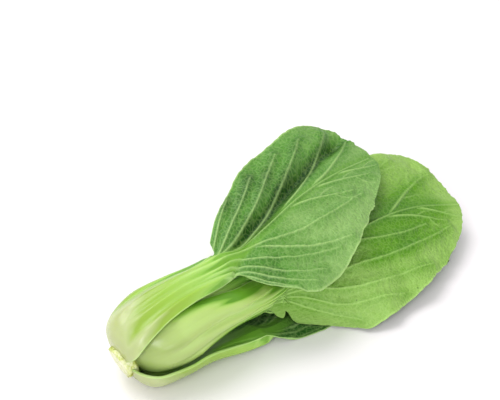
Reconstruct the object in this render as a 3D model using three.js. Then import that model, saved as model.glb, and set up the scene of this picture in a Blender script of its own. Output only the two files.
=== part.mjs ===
// One head of Shanghai bok choy, cut off at the root and lying on its side.
// Millimetres. +X runs from the root to the leaf tips, +Z is up, the table is z = 0.
//
// Ten leaves grow in four rings round a short cut root. Every leaf is a thick pale
// stalk, spoon shaped at its foot and half round at its neck, that runs on as the
// midrib of a thin green blade. The stalk with its midrib is one solid, and the
// blade, which closes round the end of the midrib, is a second one of its own colour.

import * as THREE from 'three';
import { mergeVertices } from 'three/addons/utils/BufferGeometryUtils.js';

// ---------------------------------------------------------------- driving sizes

const ROOT_HEIGHT = 18.5;      // height of the middle of the cut face over the table
const ROOT_PITCH = 0.34;       // slope of the head's axis where it leaves the cut face
const AXIS_SAG = 0.0016;       // how fast that slope is lost again, per millimetre
const AXIS_BENT = 106;         // from here on the axis runs level
const CLEARANCE = 0.3;         // gap between solids that touch on the real plant

const CLASP_START = 4;         // up to here a stalk's foot is bent round the root,
const CLASP_END = 14;          // and from here on it has the bow of its own ring
const LEAN_START = 16;         // places along the axis between which a stalk leans out
const LEAN_END = 45;

const BLADE_THICKNESS = 0.8;   // the real blade is thinner, 0.4 to 0.6 mm
const RIB_END = 0.8;           // share of a blade's length that the raised midrib reaches
const RIB_TIP_HALF = 0.6;      // half width of a midrib at its very end
const RIB_BODY_HALF = 1.6;     // what it has more than that at the foot of the blade
const RIB_FLARE = 0.09;        // share of the blade in which the neck narrows to the rib
const STALK_MARGIN = 1.6;      // thickness of the side edges of a stalk
const NECK_BOW = 76;           // degrees from the crest of a neck to its edge
const RIB_BOW = 70;            // the same on the midrib, which is a little flatter

// Key sections of the stalks of each ring, from the root outwards:
// place along the axis, distance of the crest from the axis, half width,
// bow in degrees from the crest to the edge, and thickness under the crest.
const RINGS = {
  outer: {
    neckHalf: 9, rows: [16, 13], across: [8, 5],
    foot: [
      [-0.8, 11.0, 9.5, 58, 3.4],
      [0.2, 15.5, 13.5, 58, 4.2],
      [3.0, 20.8, 17.5, 56, 5.0],
      [8.0, 24.6, 19.0, 51, 5.6],
      [16.0, 26.8, 18.6, 48, 6.0],
      [28.0, 27.3, 16.8, 46, 6.2],
      [45.0, 26.0, 14.4, 50, 6.4],
    ],
  },
  middle: {
    neckHalf: 8.5, rows: [15, 13], across: [8, 5],
    foot: [
      [4.2, 9.4, 8.0, 55, 3.0],
      [6.0, 14.0, 11.0, 58, 3.6],
      [10.0, 19.0, 13.2, 62, 4.4],
      [17.0, 23.2, 14.4, 70, 5.2],
      [28.0, 25.4, 14.8, 76, 5.6],
      [45.0, 25.0, 13.6, 80, 6.0],
    ],
  },
  inner: {
    neckHalf: 6.5, rows: [12, 10], across: [7, 4],
    foot: [
      [7.4, 6.9, 5.4, 55, 2.4],
      [9.4, 10.0, 7.6, 58, 3.0],
      [14.0, 13.8, 9.6, 62, 3.6],
      [21.0, 16.8, 11.0, 66, 4.2],
      [32.0, 18.0, 11.4, 70, 4.5],
      [46.0, 17.0, 10.4, 72, 4.8],
    ],
  },
  heart: {
    neckHalf: 3.8, rows: [11, 8], across: [6, 3],
    foot: [
      [10.4, 4.0, 3.2, 55, 2.0],
      [13.0, 6.8, 4.8, 58, 2.4],
      [18.0, 9.4, 6.0, 62, 2.8],
      [26.0, 11.2, 7.0, 66, 3.2],
      [36.0, 11.4, 7.0, 70, 3.4],
      [48.0, 10.6, 6.4, 72, 3.6],
    ],
  },
};

// Half width of a spoon shaped blade at every tenth of its length.
const SPOON = [0.34, 0.58, 0.79, 0.93, 1, 0.99, 0.95, 0.88, 0.77, 0.6, 0.4];
const spoon = (half) => SPOON.map((share) => share * half);

// Directions round the head are in degrees: 0 faces the front (-Y), 90 faces up.
// course: the crest of the stalk at its neck, then the midrib's crest at a quarter,
// a half, three quarters and the whole of the blade. facing: where the back of the
// leaf looks at those five places. cut: half widths of the blade at every tenth of
// its length, on the side to the right and on the side to the left of a walker on
// the back of the leaf who goes to its tip. round: the share of the length in which
// the margin of each side closes to the tip. breadth and reach widen the stalk and
// move it outwards; lean, in mm, is how far the stalk stands off beyond that at its
// broad part. fold: how steeply each side rises from the midrib, at the foot
// of the blade and at its tip. cup and wave: how far the margin droops and ripples.
const LEAVES = [
  {
    name: 'outer_leaf_top', ring: 'outer', azimuth: 93, breadth: 0.97, reach: 1,
    course: [[68, 0.5, 58.5], [103, 9.5, 62], [138, 22, 62.5], [173, 33, 59], [209, 42, 53]],
    facing: [84, 72, 80, 82, 84],
    cut: [
      [9, 31, 46, 49, 47.5, 44.5, 40, 34, 27.5, 21, 16],
      [13, 21, 27, 32, 36, 38.5, 40, 41, 41.5, 38.5, 23],
    ],
    round: [0.21, 0.03],
    fold: [[0, 0], [0.2, 0.45]], cup: 0.22, wave: 2.2, waves: 3, phase: 0.1,
  },
  {
    name: 'outer_leaf_bottom', ring: 'outer', azimuth: 299, breadth: 1, reach: 1, lean: 4.5,
    course: [[84, -15, 3], [115, -5, 1], [146, 3, 0.8], [178, 6, 0.8], [208, 6, 0.8]],
    facing: [288, 270, 270, 270, 270],
    cut: [spoon(25), [8.5, 13, 19, 23.5, 26, 26.5, 25, 22.5, 19.5, 15, 10]], round: [0.2, 0.2],
    fold: [[0, 0], [0.5, 0.06]], cup: 0.02, wave: 1.2, waves: 3, phase: 0.5,
  },
  {
    name: 'outer_leaf_back', ring: 'outer', azimuth: 195, breadth: 0.8, reach: 1,
    course: [[86, 26, 13], [116, 45, 6], [148, 64, 2], [180, 78, 1], [208, 88, 1]],
    facing: [208, 245, 264, 268, 270],
    cut: [spoon(32), spoon(34)], round: [0.2, 0.2],
    fold: [[0, 0], [0, 0]], cup: 0.02, wave: 1.2, waves: 3, phase: 0.8,
  },
  {
    name: 'middle_leaf_front', ring: 'middle', azimuth: 12, breadth: 1.03, reach: 1,
    course: [[91, -15.5, 31.5], [131, -7.5, 39], [171, 0.5, 39.5], [212, 6, 33], [252, 5, 20]],
    facing: [2, 52, 61, 66, 66],
    cut: [
      [10, 36, 53, 54.6, 53.4, 51.8, 49, 45.2, 40.8, 35.5, 27],
      [9, 20, 28, 34, 38.5, 41.5, 43.5, 45.5, 46.5, 43.5, 26],
    ],
    round: [0.2, 0.03],
    fold: [[0, 0], [-0.45, 0]], cup: 0.09, wave: 2, waves: 4, phase: 0.3,
  },
  {
    name: 'middle_leaf_back', ring: 'middle', azimuth: 150, breadth: 0.78, reach: 0.9,
    course: [[88, 20, 40], [120, 36, 40], [152, 52, 39], [184, 65, 34], [214, 74, 26]],
    facing: [147, 122, 112, 108, 106],
    cut: [spoon(17), spoon(36)], round: [0.2, 0.2],
    fold: [[-0.1, 0], [0, 0]], cup: 0.3, wave: 1.6, waves: 3, phase: 0.2,
  },
  {
    name: 'middle_leaf_bottom', ring: 'middle', azimuth: 246, breadth: 0.82, reach: 0.92,
    course: [[86, 3.5, 11.5], [118, 14, 9.5], [150, 26, 8.5], [182, 34, 8], [212, 40, 8]],
    facing: [255, 268, 270, 270, 270],
    cut: [spoon(28), spoon(26)], round: [0.2, 0.2],
    fold: [[0, 0], [0, 0]], cup: 0.02, wave: 0.8, waves: 3, phase: 0.6,
  },
  {
    name: 'inner_leaf_front', ring: 'inner', azimuth: 60, breadth: 1, reach: 1,
    course: [[86, -1, 42.5], [118, 6, 38], [148, 12, 32], [178, 17, 26], [206, 21, 22]],
    facing: [60, 56, 68, 75, 78],
    cut: [spoon(20), spoon(17)], round: [0.2, 0.2],
    fold: [[-0.2, 0], [-0.4, 0]], cup: 0.15, wave: 0.8, waves: 2, phase: 0.4,
  },
  {
    name: 'inner_leaf_back', ring: 'inner', azimuth: 182, breadth: 0.95, reach: 0.9,
    course: [[86, 12.5, 31.4], [116, 27, 27], [144, 37, 22], [172, 46, 19.5], [198, 53, 18]],
    facing: [172, 130, 105, 100, 98],
    cut: [spoon(17), spoon(19)], round: [0.2, 0.2],
    fold: [[-0.1, 0], [0, 0]], cup: 0.1, wave: 0.6, waves: 2, phase: 0.9,
  },
  {
    name: 'inner_leaf_bottom', ring: 'inner', azimuth: 300, breadth: 1, reach: 0.94,
    course: [[86, -2.5, 21.5], [116, 5, 17.5], [144, 6, 15.5], [172, 7, 14.5], [200, 7, 14]],
    facing: [298, 272, 270, 270, 270],
    cut: [spoon(24), spoon(21)], round: [0.2, 0.2],
    fold: [[0, 0], [0, 0]], cup: 0.02, wave: 0.5, waves: 2, phase: 0.15,
  },
  {
    name: 'heart_leaf', ring: 'heart', azimuth: 112, breadth: 1, reach: 1,
    course: [[80, 2.2, 33.6], [89, 2.7, 32.2], [98, 3.2, 31], [106, 3.8, 30], [114, 4.6, 29]],
    facing: [110, 100, 92, 90, 90],
    cut: [spoon(5), spoon(5.5)], round: [0.2, 0.2],
    fold: [[0, 0], [0, 0]], cup: 0.1, wave: 0.3, waves: 2, phase: 0.7,
  },
];

// Half profile of the cut root: place along the axis and radius. It is stepped
// where the leaves of each ring stand on it, and ends in the growing point.
const ROOT_PROFILE = [
  [-3.6, 0], [-3.6, 8.8], [-3.0, 9.8], [-1.6, 10.2], [1.5, 10.2], [3.0, 10.0],
  [3.6, 8.6], [6.6, 7.9], [7.0, 6.0], [9.8, 5.3], [10.2, 3.4], [12.5, 2.3], [14.5, 0],
];
const ROOT_SIDES = 28;

const COLOURS = {
  outer: { stalk: 0xc3d998, blade: 0x5f9440 },
  middle: { stalk: 0xc6df84, blade: 0x6ca033 },
  inner: { stalk: 0xd4e4a6, blade: 0x84b244 },
  heart: { stalk: 0xdfeab8, blade: 0xa3c763 },
  root: 0xcecfb5,
};
const STALK_ROUGHNESS = 0.35;
const BLADE_ROUGHNESS = 0.6;
const ROOT_ROUGHNESS = 0.8;

// ---------------------------------------------------------------- small helpers

const radians = THREE.MathUtils.degToRad;
const degrees = THREE.MathUtils.radToDeg;
const lerp = THREE.MathUtils.lerp;
const smooth = THREE.MathUtils.smoothstep;

// Catmull-Rom value of a list at the place k, where whole numbers are its entries.
function through(list, k) {
  const i = Math.min(Math.max(Math.floor(k), 0), list.length - 2);
  const w = k - i;
  const before = i > 0 ? list[i - 1] : 2 * list[0] - list[1];
  const after = i + 2 < list.length ? list[i + 2] : 2 * list[i + 1] - list[i];
  const slope0 = (list[i + 1] - before) / 2;
  const slope1 = (after - list[i]) / 2;
  const gap = list[i + 1] - list[i];
  const cubic = slope0 + slope1 - 2 * gap;
  return list[i] + w * (slope0 + w * (3 * gap - 2 * slope0 - slope1 + w * cubic));
}

// The head's axis: its height and its direction at a place along +X.
function axisAt(x) {
  const bent = Math.min(x, AXIS_BENT);
  const height = ROOT_HEIGHT + ROOT_PITCH * bent - AXIS_SAG * bent * Math.max(bent, 0);
  const slope = x < AXIS_BENT ? ROOT_PITCH - 2 * AXIS_SAG * Math.max(x, 0) : 0;
  return { point: new THREE.Vector3(x, 0, height), along: new THREE.Vector3(1, 0, slope).normalize() };
}

// The direction of an azimuth, square to a given line.
function outward(degrees, along) {
  const angle = radians(degrees);
  const out = new THREE.Vector3(0, -Math.cos(angle), Math.sin(angle));
  return out.addScaledVector(along, -out.dot(along)).normalize();
}

// ---------------------------------------------------------------- one leaf's lines

// The key sections of a leaf, as one list for each measure, from foot to tip.
function keySections(leaf) {
  const ring = RINGS[leaf.ring];
  const clasp = (x) => smooth(x, CLASP_START, CLASP_END);
  const concentric = (bow) => degrees(Math.asin(Math.min(Math.sin(radians(bow)) * leaf.breadth, 1)));
  const crest = ring.foot.map(([x, radius]) => {
    const { point, along } = axisAt(x);
    const reach = lerp(1, leaf.reach, clasp(x));
    const apart = (leaf.lean ?? 0) * smooth(x, LEAN_START, LEAN_END);
    return point.addScaledVector(outward(leaf.azimuth, along), radius * reach + apart);
  });
  leaf.course.forEach((place) => crest.push(new THREE.Vector3(...place)));
  const foot = (column) => ring.foot.map((row) => row[column]);
  return {
    x: crest.map((p) => p.x),
    y: crest.map((p) => p.y),
    z: crest.map((p) => p.z),
    facing: [...ring.foot.map(() => leaf.azimuth), ...leaf.facing],
    half: [...foot(2).map((half) => half * leaf.breadth), ring.neckHalf],
    bow: [...ring.foot.map(([x, , , bow]) => lerp(concentric(bow), bow, clasp(x))), NECK_BOW],
    thick: [...foot(4), ring.neckHalf * Math.tan(radians(NECK_BOW) / 2) + BLADE_THICKNESS],
    neck: ring.foot.length,
    tip: ring.foot.length + leaf.course.length - 1,
  };
}

// Half width of the midrib at a share t of the blade.
function ribHalf(neckHalf, t) {
  const flare = neckHalf - RIB_TIP_HALF - RIB_BODY_HALF;
  return RIB_TIP_HALF + RIB_BODY_HALF * (1 - t) + flare * Math.exp(-t / RIB_FLARE);
}

// The frame of the section at place k: crest point, out, side and its measures.
function sectionAt(leaf, keys, k) {
  const spot = (at) => new THREE.Vector3(...[keys.x, keys.y, keys.z].map((list) => through(list, at)));
  const crest = spot(k);
  const step = 0.02;
  const travel = spot(k + step).sub(spot(k - step)).normalize();
  const upright = axisAt(crest.x).along;
  const blend = smooth(k, keys.neck - 3, keys.neck - 1);
  const along = upright.lerp(travel, blend).normalize();
  const out = outward(through(keys.facing, k), along);
  const side = new THREE.Vector3().crossVectors(along, out);
  if (k <= keys.neck) {
    const bow = radians(through(keys.bow, k));
    const half = through(keys.half, k);
    return { crest, out, side, half, bow, rise: half * Math.tan(bow / 2),
      thick: through(keys.thick, k), flat: smooth(k, keys.neck - 1, keys.neck) };
  }
  const t = (k - keys.neck) / (keys.tip - keys.neck);
  const half = ribHalf(RINGS[leaf.ring].neckHalf, t);
  const bow = radians(lerp(NECK_BOW, RIB_BOW, smooth(t, 0, 0.15)));
  const rise = half * Math.tan(bow / 2);
  return { crest, out, side, half, bow, rise, thick: rise + BLADE_THICKNESS, flat: 1 };
}

const inSection = (s, across, depth) => s.crest.clone()
  .addScaledVector(s.side, across).addScaledVector(s.out, -depth);

// Nothing reaches below the table: what would is pressed flat on it.
function onTable(point) {
  point.z = Math.max(point.z, 0);
  return point;
}

// ---------------------------------------------------------------- closed skins

// Joins an outer and an inner grid of points, alike in rows and columns, into one
// closed solid. open(i, j) tells whether the cell between rows i and i + 1 and
// columns j and j + 1 is left out.
function closedSkin(outer, inner, open = () => false) {
  const rows = outer.length - 1;
  const columns = outer[0].length - 1;
  const points = [...outer.flat(), ...inner.flat()];
  const layer = outer.flat().length;
  const id = (i, j, under) => i * (columns + 1) + j + (under ? layer : 0);
  const solid = (i, j) => i >= 0 && j >= 0 && i < rows && j < columns && !open(i, j);
  const faces = [];
  const quad = (a, b, c, d) => faces.push([a, b, c], [a, c, d]);
  for (let i = 0; i < rows; i += 1) {
    for (let j = 0; j < columns; j += 1) {
      if (!solid(i, j)) continue;
      quad(id(i, j), id(i + 1, j), id(i + 1, j + 1), id(i, j + 1));
      quad(id(i, j, 1), id(i, j + 1, 1), id(i + 1, j + 1, 1), id(i + 1, j, 1));
      if (!solid(i - 1, j)) quad(id(i, j), id(i, j + 1), id(i, j + 1, 1), id(i, j, 1));
      if (!solid(i + 1, j)) quad(id(i + 1, j + 1), id(i + 1, j), id(i + 1, j, 1), id(i + 1, j + 1, 1));
      if (!solid(i, j - 1)) quad(id(i + 1, j), id(i, j), id(i, j, 1), id(i + 1, j, 1));
      if (!solid(i, j + 1)) quad(id(i, j + 1), id(i + 1, j + 1), id(i + 1, j + 1, 1), id(i, j + 1, 1));
    }
  }
  const geometry = new THREE.BufferGeometry().setFromPoints(points);
  geometry.setIndex(faces.flat());
  return facingOut(withoutSlivers(mergeVertices(geometry, 1e-5)));
}

// Drops the triangles that have two corners in one place.
function withoutSlivers(geometry) {
  const index = geometry.index.array;
  const kept = [];
  for (let n = 0; n < index.length; n += 3) {
    const [a, b, c] = index.slice(n, n + 3);
    if (a !== b && b !== c && c !== a) kept.push(a, b, c);
  }
  geometry.setIndex(kept);
  return geometry;
}

// Turns a closed surface right side out by the sign of its volume.
function facingOut(geometry) {
  const index = geometry.index.array;
  const place = geometry.attributes.position;
  const corner = (n) => new THREE.Vector3().fromBufferAttribute(place, index[n]);
  let volume = 0;
  for (let n = 0; n < index.length; n += 3) {
    volume += corner(n).dot(corner(n + 1).cross(corner(n + 2)));
  }
  if (volume < 0) index.reverse();
  geometry.computeVertexNormals();
  return geometry;
}

// The grid moved along its own normals, by a depth for each point.
function sunkGrid(grid, depth, inward) {
  const at = (i, j) => grid[Math.min(Math.max(i, 0), grid.length - 1)][
    Math.min(Math.max(j, 0), grid[0].length - 1)];
  return grid.map((row, i) => row.map((point, j) => {
    const down = at(i + 1, j).clone().sub(at(i - 1, j));
    const over = at(i, j + 1).clone().sub(at(i, j - 1));
    const normal = down.cross(over).normalize();
    if (normal.dot(inward(i, j)) < 0) normal.negate();
    return point.clone().addScaledVector(normal, depth(i, j));
  }));
}

// ---------------------------------------------------------------- stalk and blade

// Rows of a stalk: evenly up to the neck, then at the rows of its blade.
function stalkPlaces(keys, [footRows, bladeRows]) {
  const foot = Array.from({ length: footRows }, (_, i) => keys.neck * (i / footRows));
  const ribRows = Math.round(RIB_END * bladeRows);
  const rib = Array.from({ length: ribRows + 1 }, (_, i) => (
    lerp(keys.neck, keys.tip, i / bladeRows)));
  return [...foot, ...rib];
}

function stalkSolid(leaf) {
  const ring = RINGS[leaf.ring];
  const keys = keySections(leaf);
  const sections = stalkPlaces(keys, ring.rows).map((k) => sectionAt(leaf, keys, k));
  const columns = ring.across[0];
  const share = (j) => (2 * j) / (columns - 1) - 1;
  const across = (s, j) => s.half * Math.sin(share(j) * s.bow) / Math.sin(s.bow);
  const outer = sections.map((s) => Array.from({ length: columns }, (_, j) => (
    inSection(s, across(s, j), s.rise * (1 - Math.cos(share(j) * s.bow)) / (1 - Math.cos(s.bow))))));
  const depth = (i, j) => STALK_MARGIN + (sections[i].thick - STALK_MARGIN) * (1 - share(j) ** 2);
  const sunk = sunkGrid(outer, depth, (i) => sections[i].out.clone().negate());
  const inner = sunk.map((row, i) => row.map((point, j) => {
    const s = sections[i];
    return point.lerp(inSection(s, across(s, j), s.rise + BLADE_THICKNESS), s.flat);
  }));
  [...outer.flat(), ...inner.flat()].forEach(onTable);
  return closedSkin(outer, inner);
}

// Half width of a blade at a share t of its length, on side 0, right, or 1, left.
const outline = (leaf, side, t) => through(leaf.cut[side], t * (leaf.cut[side].length - 1));

// A point of a blade's back, at a share t of its length and at a distance across
// from its middle line, to the left of it where that is negative.
function bladePoint(leaf, keys, t, across) {
  const s = sectionAt(leaf, keys, lerp(keys.neck, keys.tip, t) + 1e-6);
  const side = across < 0 ? 1 : 0;
  const distance = Math.abs(across);
  const share = distance / Math.max(...leaf.cut[side]);
  const ripple = Math.sin(2 * Math.PI * (leaf.waves * t + leaf.phase + 0.37 * side));
  const fold = lerp(...leaf.fold[side], smooth(t, 0.2, 0.7));
  const bend = (leaf.cup * share - fold) * distance + leaf.wave * ripple * share ** 3;
  return onTable(inSection(s, across, s.rise + bend));
}

// The blade: two halves that leave a slot for the midrib and join beyond its end.
// Its last rows bow, so that the round tip has no corner and no pole.
function bladeSolid(leaf) {
  const ring = RINGS[leaf.ring];
  const keys = keySections(leaf);
  const rows = ring.rows[1];
  const half = ring.across[1];
  const lastOpen = Math.round(rows * RIB_END);
  const columns = Array.from({ length: 2 * half + 2 }, (_, j) => j);
  const grid = Array.from({ length: rows + 1 }, (_, i) => columns.map((j) => {
    const right = j > half;
    const share = (right ? j - half - 1 : half - j) / half;
    const side = right ? 0 : 1;
    const edge = i / rows;
    const bowed = leaf.round[side] * edge ** 4;
    const reach = outline(leaf, side, edge - bowed);
    const start = i <= lastOpen ? ribHalf(ring.neckHalf, edge) + CLEARANCE : 0;
    const across = start + share * Math.max(reach - start, 1);
    return bladePoint(leaf, keys, edge - bowed * share ** 2, right ? across : -across);
  }));
  const inward = grid.map((_, i) => (
    sectionAt(leaf, keys, lerp(keys.neck, keys.tip, i / rows)).out.negate()));
  const sunk = sunkGrid(grid, () => BLADE_THICKNESS, (i) => inward[i]);
  for (let i = lastOpen + 1; i <= rows; i += 1) sunk[i][half + 1] = sunk[i][half];
  sunk.flat().forEach(onTable);
  return closedSkin(grid, sunk, (i, j) => j === half && i <= lastOpen);
}

// ---------------------------------------------------------------- the whole head

function namedMesh(name, geometry, color, roughness) {
  const mesh = new THREE.Mesh(geometry, new THREE.MeshStandardMaterial({ color, roughness, metalness: 0 }));
  mesh.name = name;
  return mesh;
}

function rootCrown() {
  const profile = ROOT_PROFILE.map(([along, radius]) => new THREE.Vector2(radius, along));
  const geometry = facingOut(closedLathe(profile));
  const mesh = namedMesh('root_crown', geometry, COLOURS.root, ROOT_ROUGHNESS);
  const { point, along } = axisAt(0);
  mesh.position.copy(point);
  mesh.quaternion.setFromUnitVectors(new THREE.Vector3(0, 1, 0), along);
  return mesh;
}

function closedLathe(profile) {
  const geometry = new THREE.LatheGeometry(profile, ROOT_SIDES);
  geometry.deleteAttribute('normal');
  geometry.deleteAttribute('uv');
  return withoutSlivers(mergeVertices(geometry, 1e-4));
}

const head = new THREE.Group();
head.add(rootCrown());
for (const leaf of LEAVES) {
  const colours = COLOURS[leaf.ring];
  head.add(namedMesh(`${leaf.name}_stalk`, stalkSolid(leaf), colours.stalk, STALK_ROUGHNESS));
  head.add(namedMesh(`${leaf.name}_blade`, bladeSolid(leaf), colours.blade, BLADE_ROUGHNESS));
}

// The origin goes to the middle of the underside of the whole head.
const extent = new THREE.Box3().setFromObject(head, true);
const middle = extent.getCenter(new THREE.Vector3());
head.position.set(-middle.x, -middle.y, -extent.min.z);

const group = new THREE.Group();
group.add(head);

export default group;
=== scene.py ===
# %% [markdown]
# # One head of Shanghai bok choy
# The head lies on a pale table. Its leaves stand in rings round a short cut root:
# every leaf is a thick, glossy, pale stalk that runs on as the midrib of a thin
# green blade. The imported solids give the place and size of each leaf, and this
# lesson builds the fine surface over them: margins, ribs, veins, skin and wax.

# %% The frame comes first
import math

import bpy
import numpy as np
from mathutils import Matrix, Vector


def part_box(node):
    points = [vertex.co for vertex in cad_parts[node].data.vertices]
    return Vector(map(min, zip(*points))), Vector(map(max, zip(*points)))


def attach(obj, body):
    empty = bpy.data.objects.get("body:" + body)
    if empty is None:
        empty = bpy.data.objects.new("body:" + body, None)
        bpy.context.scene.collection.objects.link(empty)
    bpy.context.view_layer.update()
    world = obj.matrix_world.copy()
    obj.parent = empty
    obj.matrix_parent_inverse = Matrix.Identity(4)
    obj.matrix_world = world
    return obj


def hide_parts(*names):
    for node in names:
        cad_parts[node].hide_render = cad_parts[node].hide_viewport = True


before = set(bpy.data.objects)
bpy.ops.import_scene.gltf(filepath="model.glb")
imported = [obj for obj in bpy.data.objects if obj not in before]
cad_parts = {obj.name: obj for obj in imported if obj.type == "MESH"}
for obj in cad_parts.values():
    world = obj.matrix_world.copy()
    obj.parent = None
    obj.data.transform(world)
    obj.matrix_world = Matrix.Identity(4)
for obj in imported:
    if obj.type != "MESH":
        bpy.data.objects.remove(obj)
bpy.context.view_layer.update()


# %% Everything is measured in millimetres and turned to metres at the end
MM = 0.001
TINY = 1e-9


def smooth(value, low, high):
    """Rises from 0 at low to 1 at high with level ends."""
    share = np.clip((np.asarray(value, float) - low) / (high - low), 0, 1)
    return share * share * (3 - 2 * share)


def mix(a, b, share):
    """Goes from a to b as share goes from 0 to 1."""
    return a + (b - a) * share


def unit(vectors):
    """Vectors of length one."""
    return vectors / np.maximum(np.linalg.norm(vectors, axis=-1, keepdims=True), TINY)


# %% A smooth line through a few given values
def through(values, place):
    """Catmull-Rom value of a list: whole numbers of place are its entries."""
    values = np.asarray(values, float)
    place = np.asarray(place, float)
    before_first, after_last = 2 * values[0] - values[1], 2 * values[-1] - values[-2]
    padded = np.concatenate([[before_first], values, [after_last]])
    i = np.clip(np.floor(place).astype(int), 0, len(values) - 2)
    w = place - i
    before, here, there, after = (padded[i + n] for n in range(4))
    slope_in, slope_out, gap = (there - before) / 2, (after - here) / 2, there - here
    cubic = slope_in + slope_out - 2 * gap
    return here + w * (slope_in + w * (3 * gap - 2 * slope_in - slope_out + w * cubic))


# %% [markdown]
# ## Gentle unevenness
# Nothing that grows is even. A noise texture with a displace modifier could swell a
# finished mesh, but the line of a margin and the shade of a blade need swells too,
# before there is a mesh. A few cosines of one wavelength, each in its own direction,
# add up to a soft swell that never repeats and has no seams. The random draws are
# seeded, so that the head comes out alike each time.

# %% Swell
def swell(x, y, wavelength, seed, waves=7):
    """Soft unevenness of about +-1 with bumps one wavelength apart."""
    draw = np.random.default_rng(seed)
    total = np.zeros(np.broadcast(x, y).shape)
    for _ in range(waves):
        heading, phase = draw.uniform(0, math.tau, 2)
        length = wavelength * draw.uniform(0.75, 1.35)
        ahead = x * math.cos(heading) + y * math.sin(heading)
        total += np.cos(math.tau * ahead / length + phase)
    return total * math.sqrt(2 / waves) * 0.6


metre = swell(np.arange(1000.0), 0, 22, seed=1)
print("swell along a metre, from", metre.min().round(2), "to", metre.max().round(2))

# %% [markdown]
# ## How a head is laid out
# The head's axis starts in the middle of the cut face, climbs a little and levels
# out. Round it stand four rings of leaves. One leaf could be modelled and copied
# round the root, but leaves crowd each other as they grow and no two of them are
# alike, so each is laid along a midrib of its own. The key sections of a ring's
# stalks and the line of each midrib are the same as in the solids, so that each fine
# leaf lies exactly over its plain one.

# %% Sizes shared by all leaves
ROOT_HEIGHT, ROOT_PITCH = 18.5, 0.34  # middle of the cut face, and the climb of the axis there
AXIS_SAG, AXIS_BENT = 0.0016, 106  # how fast the climb is lost, and where the axis is level
CLASP = (4, 14)  # along the axis, where the feet that clasp the root turn into free stalks
LEAN = (16, 45)  # where a leaf that leans away starts to and has done so
RIB_TIP_HALF, RIB_BODY_HALF, RIB_FLARE = 0.6, 1.6, 0.09
NECK_BOW, RIB_BOW = 76, 70  # degrees from the crest to the side of the midrib
STALK_MARGIN = 1.6
SOLID_BLADE, BLADE = 0.8, 0.55  # thickness in the solids, and here

# %% Key sections of a stalk: along the axis, from the axis, half width, bow, thickness
# (before them, half the width of a neck of the ring)
RINGS = {
    "outer": (9, [
        [-0.8, 11.0, 9.5, 58, 3.4], [0.2, 15.5, 13.5, 58, 4.2], [3.0, 20.8, 17.5, 56, 5.0],
        [8.0, 24.6, 19.0, 51, 5.6], [16.0, 26.8, 18.6, 48, 6.0], [28.0, 27.3, 16.8, 46, 6.2],
        [45.0, 26.0, 14.4, 50, 6.4]]),
    "middle": (8.5, [
        [4.2, 9.4, 8.0, 55, 3.0], [6.0, 14.0, 11.0, 58, 3.6], [10.0, 19.0, 13.2, 62, 4.4],
        [17.0, 23.2, 14.4, 70, 5.2], [28.0, 25.4, 14.8, 76, 5.6], [45.0, 25.0, 13.6, 80, 6.0]]),
    "inner": (6.5, [
        [7.4, 6.9, 5.4, 55, 2.4], [9.4, 10.0, 7.6, 58, 3.0], [14.0, 13.8, 9.6, 62, 3.6],
        [21.0, 16.8, 11.0, 66, 4.2], [32.0, 18.0, 11.4, 70, 4.5], [46.0, 17.0, 10.4, 72, 4.8]]),
    "heart": (3.8, [
        [10.4, 4.0, 3.2, 55, 2.0], [13.0, 6.8, 4.8, 58, 2.4], [18.0, 9.4, 6.0, 62, 2.8],
        [26.0, 11.2, 7.0, 66, 3.2], [36.0, 11.4, 7.0, 70, 3.4], [48.0, 10.6, 6.4, 72, 3.6]]),
}

# %% Half width of a spoon shaped blade at every tenth of its length
def spoon(half):
    """The cut of one side of a plain blade."""
    shares = (0.34, 0.58, 0.79, 0.93, 1, 0.99, 0.95, 0.88, 0.77, 0.6, 0.4)
    return [share * half for share in shares]


# %% Usual side veins: share where they leave, how far off the midrib, share of their end, reach
VEINS = [(-0.10, 0.75, 0.16, 0.86), (-0.08, 0.5, 0.34, 0.9), (-0.04, 0.3, 0.52, 0.9),
         (0.06, 0.6, 0.68, 0.86), (0.2, 0.6, 0.8, 0.8), (0.36, 0.6, 0.89, 0.7),
         (0.52, 0.6, 0.96, 0.5), (0.68, 0.6, 0.99, 0.25)]


# %% [markdown]
# ## What is said of each leaf
# A leaf could be sculpted by hand, but as numbers it can be measured and changed, and
# one builder serves all ten. azimuth is where a leaf stands round the root (0 front, 90
# up). breadth and reach set its stalk against those of its ring: how broad it is, and
# how far from the axis. lean is how far it leans away. course and facing are the points
# of its midrib and where its back looks there. cut is the half width of its right and its
# left side at every tenth, and round how far the rows bow at the tip. fold, near the neck
# and further out, and cup say how the halves stand, and wave, waves and phase how the
# margin ripples. settle is how softly the leaf bends up from the table, and neck_from
# where the bend and the green of the blade start before the neck.
#
# The rest is drawn on the leaf laid flat, in millimetres along and across, with the neck
# at 0 and the stalk below 0. drawn holds veins, each by its points. A tone is a patch:
# its middle, its reach both ways and how much darker it is; some tones are painted
# shade, a painted sheen or a painted highlight. A band is a long ridge or channel: its
# line, half width, lift and how much darker it is, which in a crease or on a shadowed
# flank is painted shade. A wing is a flare of the margin: its side, the four places where
# it sets in, is full, fades and is gone, its width, and the share of the half width from
# which it acts. A nick bites the margin: its place, width and depth.

# %% What most leaves share
USUAL = dict(breadth=1, reach=1, lean=0, round=[0.2, 0.2], fold=[[0, 0], [0, 0]],
             veins=[VEINS, VEINS], drawn=[], tones=[], bands=[], wings=[], nicks=[[], []],
             settle=1.2, neck_from=(-26, -32))

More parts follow.
